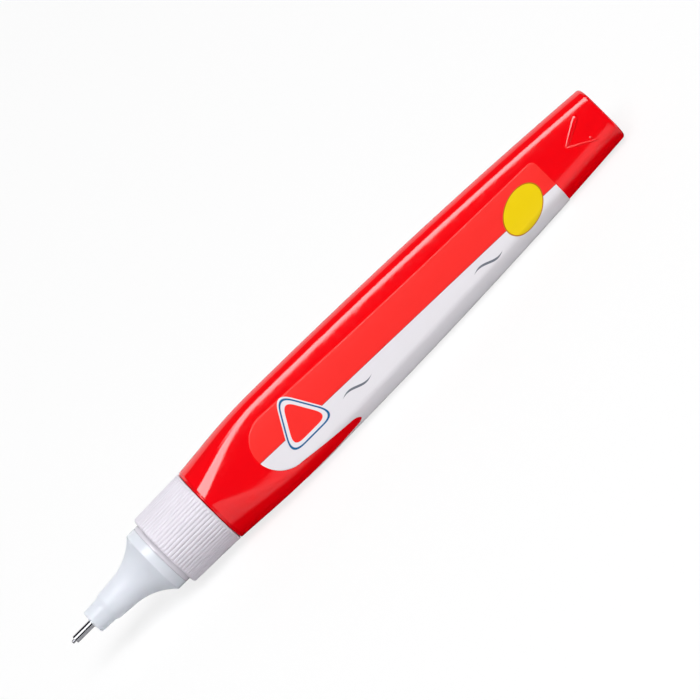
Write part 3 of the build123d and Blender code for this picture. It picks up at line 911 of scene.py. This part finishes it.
print("the film's map gives", print_x.name, "and", print_w.name)

# %% Label finish
LABEL_RED, LABEL_WHITE = srgb(252, 50, 46), srgb(233, 230, 235)
SIGN_BLUE, OVAL_YELLOW, OVAL_RIM = srgb(20, 96, 150), srgb(240, 208, 16), srgb(186, 110, 20)
STROKE_GREY, PARTING_INK = srgb(112, 116, 128), srgb(150, 40, 44)
SPLIT_HEIGHT, SPLIT_SLOPE, PARTING_HALF_WIDTH = -1.65, -0.0262, 0.05
SIGN_CENTRE, SIGN_ROUNDNESS = (35.2, -1.4), 2.9
SIGN_LAYERS = ((3.6, LABEL_WHITE), (3.36, SIGN_BLUE), (3.08, LABEL_WHITE), (2.5, LABEL_RED))
OVAL_CENTRE, OVAL_HALF_AXES, OVAL_TILT = (90.05, -2.62), (5.1, 3.27), 20.8
OVAL_LAYERS = ((0.0, OVAL_RIM), (-0.2, OVAL_YELLOW))
STROKES = ((42.7, 50.6, -4.1), (75.0, 82.8, -5.0))  # start, end and height
LABEL_ROUGHNESS = (0.16, 0.22)

split = plus(times(minus(print_x, LABEL_FRONT), SPLIT_SLOPE), SPLIT_HEIGHT)
above_split = minus(print_w, split)
off_split = label_finish.math("ABSOLUTE", above_split)
ink = label_finish.mix(inside(above_split, 0.0), LABEL_RED, LABEL_WHITE)
ink = label_finish.mix(inside(off_split, PARTING_HALF_WIDTH), ink, PARTING_INK)
sign = triangle_distance(SIGN_CENTRE, SIGN_ROUNDNESS)
oval = oval_distance(OVAL_CENTRE, OVAL_HALF_AXES, OVAL_TILT)
for figure, layers in ((sign, SIGN_LAYERS), (oval, OVAL_LAYERS)):
    for edge, colour in layers:
        ink = label_finish.mix(inside(figure, edge), ink, colour)
for stroke in STROKES:
    ink = label_finish.mix(inside(stroke_distance(*stroke), 0.0), ink, STROKE_GREY)
film_grain = label_finish.noise(scale=1500, detail=2)
label_finish.fill(label_finish.shader, {
    "Base Color": ink,
    "Roughness": label_finish.spread(film_grain, *LABEL_ROUGHNESS),
})
label_finish.bump(film_grain, strength=0.03, distance=0.02 * MM)
label_finish.wear(label)
print("finish:", label_finish.material.name, len(label_finish.tree.nodes), "nodes")

# %% [markdown]
# ## White plastics
# Collar and nose are two mouldings. The collar is plain white and satin, with a polished band at its
# front. The nose is milkier: light goes a millimetre into it, which subsurface scattering gives, and its
# shoulder, where a cap slides, is polished too. One roughness for a whole piece would lose that, so the
# roughness changes along x. A fine noise on both breaks up the gloss as the texture of a mould does.

# %% Collar and nose finishes
SCATTER_DEPTH, SCATTER_RADIUS = 1.2 * MM, (1.0, 0.9, 0.95)
GRAIN_ROUGHNESS = (-0.04, 0.04)
COLLAR_TONES = (227, 222, 231), (223, 218, 227)
NOSE_TONES = (229, 232, 240), (225, 229, 237)


def white_plastic(name, tones, scatter, gloss, border, roughness):
    """White moulded plastic: two close tones, a fine grain, and a roughness that changes at an x."""
    finish = Finish(name, {
        "IOR": 1.48,
        "Specular IOR Level": gloss,
        "Subsurface Weight": scatter,
        "Subsurface Scale": SCATTER_DEPTH,
        "Subsurface Radius": SCATTER_RADIUS,
    })
    patches = finish.spread(finish.noise(scale=140))
    grain = finish.noise(scale=2600, detail=2)
    x = finish.add("SeparateXYZ", {0: finish.place()})
    polish = finish.fade(x, border[0] * MM, border[1] * MM, *roughness)
    finish.fill(finish.shader, {
        "Base Color": finish.mix(patches, *(srgb(*tone) for tone in tones)),
        "Roughness": finish.math("ADD", polish, finish.spread(grain, *GRAIN_ROUGHNESS)),
    })
    finish.bump(grain, strength=0.02, distance=0.02 * MM)
    return finish


collar_finish = white_plastic(
    "collar plastic", COLLAR_TONES, scatter=0.2, gloss=0.36, border=(1.0, 1.3), roughness=(0.14, 0.46)
)
nose_finish = white_plastic(
    "nose plastic", NOSE_TONES, scatter=0.6, gloss=0.22, border=(-2.3, -1.5), roughness=(0.36, 0.14)
)
collar_finish.wear(collar)
nose_finish.wear(nose)
print("finishes:", collar_finish.material.name, nose_finish.material.name)

# %% [markdown]
# ## Metals, rubber and the parts inside
# The tube is drawn and polished, so its faint streaks run along it; the pin is ground, so its marks go
# round. The spring's wire and the ball are plain steel. One metal for all would do from afar, but close
# up the run of the marks tells them apart. The edges of the metals get painted shade: a dark tint at
# grazing angles makes them look almost black, as if they mirrored dark surroundings. The small parts
# inside keep the frame's solids and get a finish too, because they show once the pen is taken apart.

# %% Metal finishes
# Painted shade: a dark specular tint darkens the metal's reflections at grazing angles, so its edges look
# almost black.
PAINTED_EDGE_SHADE = (0.02, 0.02, 0.02, 1)
MARK_SHADE = 0.93  # how dark a mark is beside the metal
MARK_ROUGHNESS = np.array([0.8, 1.3])  # roughness of the smooth metal and of a mark, as shares
ALONG, PARTLY_ALONG, ROUND, EVEN = (0.05, 1, 1), (0.3, 1, 1), (1, 0.1, 0.1), (1, 1, 1)  # runs of marks


def streaked_metal(name, tone, roughness, stretch):
    """Metal with fine marks: a noise stretched along the marks varies tone and roughness."""
    finish = Finish(name, {"Metallic": 1.0, "Specular Tint": PAINTED_EDGE_SHADE})
    marks = finish.noise(scale=900, stretch=stretch, detail=4)
    mark_tone = MARK_SHADE * np.array(tone)
    finish.fill(finish.shader, {
        "Base Color": finish.mix(finish.spread(marks), srgb(*tone), srgb(*mark_tone)),
        "Roughness": finish.spread(marks, *(roughness * MARK_ROUGHNESS)),
    })
    finish.bump(marks, strength=0.02, distance=0.01 * MM)
    return finish


nodes = frame["nodes"]
streaked_metal("tube metal", (150, 150, 154), 0.02, ALONG).wear(tube)
streaked_metal("pin metal", (126, 126, 131), 0.14, ROUND).wear(pin)
streaked_metal("spring wire", (196, 196, 200), 0.28, PARTLY_ALONG).wear(spring)
streaked_metal("ball metal", (210, 210, 214), 0.14, EVEN).wear(nodes["mixing_ball"])
print("metals:", [piece.data.materials[0].name for piece in (tube, pin, spring, nodes["mixing_ball"])])

# %% Finishes of the valve and the gasket
VALVE_TONES = (240, 240, 236), (230, 230, 226)
GASKET_DARK, GASKET_PALE, GASKET_ROUGHNESS = srgb(42, 42, 44), srgb(58, 57, 58), (0.65, 0.85)

valve_finish = white_plastic(
    "valve plastic", VALVE_TONES, scatter=0.1, gloss=0.5, border=(-20.0, 0.0), roughness=(0.42, 0.48)
)
valve_finish.wear(nodes["valve_plunger"], nodes["spring_retainer"])
gasket_finish = Finish("gasket rubber", {"IOR": 1.5})
specks = gasket_finish.noise(scale=2400, detail=5)
gasket_finish.fill(gasket_finish.shader, {
    "Base Color": gasket_finish.mix(specks, GASKET_DARK, GASKET_PALE),
    "Roughness": gasket_finish.spread(specks, *GASKET_ROUGHNESS),
})
gasket_finish.bump(specks, strength=0.2, distance=0.03 * MM)
gasket_finish.wear(nodes["neck_gasket"])
print("finishes:", valve_finish.material.name, gasket_finish.material.name)

# %% [markdown]
# ## Floor
# The pen lies on a pale table. It touches the table with the round front of the barrel and somewhere
# along the tapering flat below, so the table's slope in the pen's frame is the flattest line from the
# front that stays under the whole barrel. The floor is a plain sheet, large enough to fill the picture.
#
# A white table would need a lot of light, and the pen would get it too. So Light Path sorts the rays. To
# the eye a plain white glow lies over the paper like a veil, and the shadow still shows through it. To
# diffuse light the paper is greyer, and throws less back. In reflections it darkens close to the pen, as
# it does in the gap below a barrel: that is painted shade, which ambient occlusion puts into its colour.

# %% Floor under the pen
FLOOR_SIZE = 3.0
FLOOR_GAP = 0.02
TOUCH_CLEAR = 5.0  # the second place of touch lies at least so far behind the first

skin = barrel_points[len(inner_rows):]
low_x, low_z = skin[:, 0, 0], skin[:, :, 2].min(axis=1)
touch = np.argmin(low_z)
run, climb = low_x - low_x[touch], low_z - low_z[touch]
behind = low_x > low_x[touch] + TOUCH_CLEAR
slope = np.min(climb[behind] / run[behind])
floor_xy = np.array([[-1, -1], [1, -1], [1, 1], [-1, 1]]) * FLOOR_SIZE / MM
floor_z = low_z[touch] - FLOOR_GAP + slope * (floor_xy[:, :1] - low_x[touch])
floor_points = np.concatenate([floor_xy, floor_z], axis=1)
floor = make_piece("floor", floor_points, np.array([[0, 1, 2, 3]]), closed=False)
print("floor slope", round(float(np.degrees(np.arctan(slope))), 2), "degrees")

# %% Floor finish
FLOOR_LIGHT, FLOOR_SHADE, FLOOR_BOUNCE = (0.96, 0.96, 0.96, 1), (0.94, 0.94, 0.94, 1), (0.75, 0.75, 0.75, 1)
FLOOR_VEIL = 0.8  # share of plain white in the floor as it is seen
CONTACT_REACH, CONTACT_FADE, CONTACT_SAMPLES = 14 * MM, (0.7, 0.84), 32
CONTACT_DARK = (0, 0, 0, 1)

floor_finish = Finish("floor paper", {"Roughness": 0.9, "IOR": 1.2})
path = floor_finish.add("LightPath").node.outputs
straight = floor_finish.math("MAXIMUM", path["Is Camera Ray"], path["Is Transmission Ray"])
seen = floor_finish.math("MAXIMUM", straight, path["Is Glossy Ray"])
fibre = floor_finish.mix(floor_finish.noise(scale=300), FLOOR_LIGHT, FLOOR_SHADE)
floor_finish.fill(floor_finish.shader, {"Base Color": floor_finish.mix(seen, FLOOR_BOUNCE, fibre)})
# Painted shade: in reflections the floor's colour darkens where ambient occlusion finds the pen close by.
contact = floor_finish.add(
    "AmbientOcclusion", {"Distance": CONTACT_REACH}, output="AO", samples=CONTACT_SAMPLES
)
painted_contact_shade = floor_finish.mix(floor_finish.fade(contact, *CONTACT_FADE), CONTACT_DARK, FLOOR_LIGHT)
mirrored = floor_finish.add("BsdfDiffuse", {"Color": painted_contact_shade})
paper = floor_finish.shader.outputs[0]
lit = floor_finish.add("MixShader", {0: path["Is Glossy Ray"], 1: paper, 2: mirrored})
glow = floor_finish.add("Emission", {"Strength": 1.0})
veil = floor_finish.math("MULTIPLY", straight, FLOOR_VEIL)
surface = floor_finish.add("MixShader", {0: veil, 1: lit, 2: glow})
floor_finish.fill(floor_finish.tree.nodes["Material Output"], {"Surface": surface})
floor_finish.wear(floor)
print("finish:", floor_finish.material.name)

# %% [markdown]
# ## Light
# Red plastic looks deep red only where it mirrors something dark, so the room is dim and the light comes
# from a few sheets. The key sheet above the camera and the overhead sheet light everything but stay out
# of the reflections. What the plastic mirrors is set up apart from them, as a photographer does with
# cards: the ridge card draws the streak along the ridge, and two low cards draw the soft bands on the
# lower crease, one at the shoulder and one at the rear end. The cards light nothing. The back sheet does
# both, and brightens the upper outline. The pale floor does the rest from below.

# %% Lamps and world
PEN_MIDDLE = (0.045, 0, 0)
UPRIGHT = 0.99  # a lamp with more height than this share of its distance hangs straight above
ROOM_COLOUR, ROOM_STRENGTH = (0.9, 0.94, 1.0, 1), 0.08


def above_front(distance, elevation, along=0.0):
    """A place in front of the pen at an elevation in degrees. Past 90 degrees it is behind the pen."""
    level, height = around(elevation).tolist()
    return (PEN_MIDDLE[0] + along, -distance * level, distance * height)


def lamp(name, place, size, radiance, lights=True, mirrored=False):
    """A rectangular sheet of light turned to the pen: its power is pi times its area times its radiance."""
    light = bpy.data.lights.new(name, "AREA")
    light.shape = "RECTANGLE"
    light.size, light.size_y = size
    light.energy = np.pi * size[0] * size[1] * radiance
    holder = bpy.data.objects.new(name, light)
    bpy.context.scene.collection.objects.link(holder)
    back = np.subtract(place, PEN_MIDDLE) / np.linalg.norm(np.subtract(place, PEN_MIDDLE))
    side = np.cross((0, 0, 1), back) if abs(back[2]) < UPRIGHT else np.array([1.0, 0, 0])
    side = side / np.linalg.norm(side)
    pose = np.eye(4)
    pose[:3] = np.stack([side, np.cross(back, side), back, place], axis=1)
    holder.matrix_world = pose.T.tolist()
    holder.visible_camera = False
    holder.visible_diffuse, holder.visible_glossy = lights, mirrored
    return holder


card = partial(lamp, lights=False, mirrored=True)
lamps = [
    lamp("key sheet", above_front(1.5, 63), size=(1.6, 0.8), radiance=6.0),
    lamp("overhead sheet", above_front(1.5, 95), size=(1.6, 1.6), radiance=0.3),
    card("ridge card", above_front(1.2, 62.0), size=(1.5, 0.66), radiance=11.0),
    lamp("back sheet", above_front(1.6, 160), size=(3.0, 1.0), radiance=0.9, mirrored=True),
    card("front card", above_front(1.2, 12.3, along=-0.02), size=(0.19, 0.52), radiance=1.05),
    card("rear card", above_front(1.2, 12.3, along=0.275), size=(0.22, 0.52), radiance=1.05),
]
world = bpy.data.worlds.new("room")
bpy.context.scene.world = world
world.use_nodes = True
room = world.node_tree.nodes["Background"].inputs
room["Color"].default_value = ROOM_COLOUR
room["Strength"].default_value = ROOM_STRENGTH
print("lamps:", [holder.name for holder in lamps])

# %% [markdown]
# ## Camera
# The picture looks down on the lying pen with a long lens, and the camera is rolled so that the pen
# crosses the square frame from the lower left to the upper right. Euler angles for that are hard to read.
# So the pose is written as three unit vectors: right and up in the picture, and back towards the camera.

# %% Camera
CAMERA_ELEVATION, CAMERA_ROLL = 26.0, 45.03
CAMERA_DISTANCE, FOCAL_LENGTH, SENSOR_WIDTH, NEAR_END = 0.9, 256.9, 36.0, 0.01
AIM_X, AIM_UP = 50.35 * MM, 1.91 * MM

level, height = around(CAMERA_ELEVATION).tolist()
roll_cos, roll_sin = around(CAMERA_ROLL).tolist()
pen_axis, pen_up = np.array([1.0, 0, 0]), np.array([0, height, level])
camera = bpy.data.objects.new("camera", bpy.data.cameras.new("camera"))
bpy.context.scene.collection.objects.link(camera)
view = np.eye(4)
view[:3, 0] = roll_cos * pen_axis - roll_sin * pen_up
view[:3, 1] = roll_sin * pen_axis + roll_cos * pen_up
view[:3, 2] = np.array([0, -level, height])
view[:3, 3] = AIM_X * pen_axis + AIM_UP * pen_up + CAMERA_DISTANCE * view[:3, 2]
camera.matrix_world = view.T.tolist()
camera.data.lens = FOCAL_LENGTH
camera.data.sensor_width = SENSOR_WIDTH
camera.data.clip_start = NEAR_END
bpy.context.scene.camera = camera
bpy.context.scene.view_settings.view_transform = "Standard"
print("camera at", view[:3, 3].round(3).tolist())
